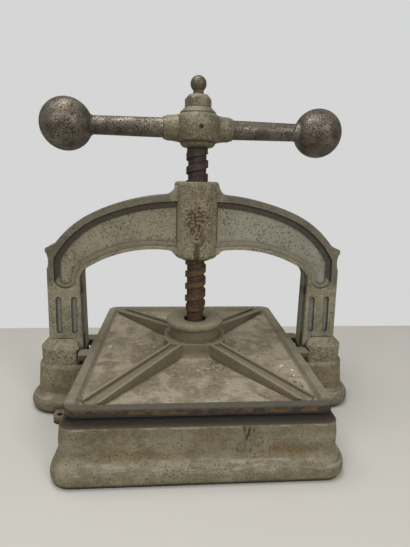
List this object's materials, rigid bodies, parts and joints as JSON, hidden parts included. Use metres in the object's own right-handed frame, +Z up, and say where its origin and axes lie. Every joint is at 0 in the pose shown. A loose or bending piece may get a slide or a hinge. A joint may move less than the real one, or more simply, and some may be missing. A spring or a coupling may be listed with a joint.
{
  "type": "book press",
  "caption": "Cast-iron screw press with an arched yoke over a bed, a lifting platen, and a two-armed handle with ball weights.",
  "frame": {"origin": "on the floor under the axis of the screw, which is the middle of the bed's footprint", "axes": "+X across the press along the arch, +Y from the front to the back, +Z up along the screw"},
  "size_m": [0.399, 0.312, 0.3834],
  "materials": {
    "painted_casting": "aged paint over cast iron, worn and rusty",
    "dusty_casting": "bare casting under rust and dust",
    "worn_iron": "dark, worn smooth by hands, pitted",
    "rusty_steel": "turned steel with a brown film of rust",
    "hard_steel": "turned",
    "bronze": "turned, dull"
  },
  "bodies": {
    "frame": {"bed": "painted_casting", "yoke": "painted_casting", "screw_nut": "bronze", "nut_grub_screw": "hard_steel", "left_leg_stud": "hard_steel", "right_leg_stud": "hard_steel", "left_stud_washer": "hard_steel", "right_stud_washer": "hard_steel", "left_stud_nut": "hard_steel", "right_stud_nut": "hard_steel"},
    "platen": {"platen": "dusty_casting", "keeper_ring": "painted_casting", "left_keeper_screw": "hard_steel", "right_keeper_screw": "hard_steel", "thrust_button": "hard_steel"},
    "spindle": {"spindle": "rusty_steel", "handle_hub": "painted_casting", "left_arm": "worn_iron", "right_arm": "worn_iron", "hub_pin": "rusty_steel", "hub_washer": "worn_iron", "cap_nut": "worn_iron"}
  },
  "joints": [
    {"name": "platen_slide", "type": "slide", "parent": "frame", "child": "platen", "axis": [0, 0, 1], "range_m": [-0.0025, 0.0702]},
    {"name": "screw_turn", "type": "hinge", "parent": "platen", "child": "spindle", "pos_m": [0, 0, 0.1], "axis": [0, 0, 1], "range_deg": [-57.6, 1680]}
  ],
  "couplings": [
    {"joint": "platen_slide", "follows": "screw_turn", "m_per_rad": 0.0023873}
  ]
}
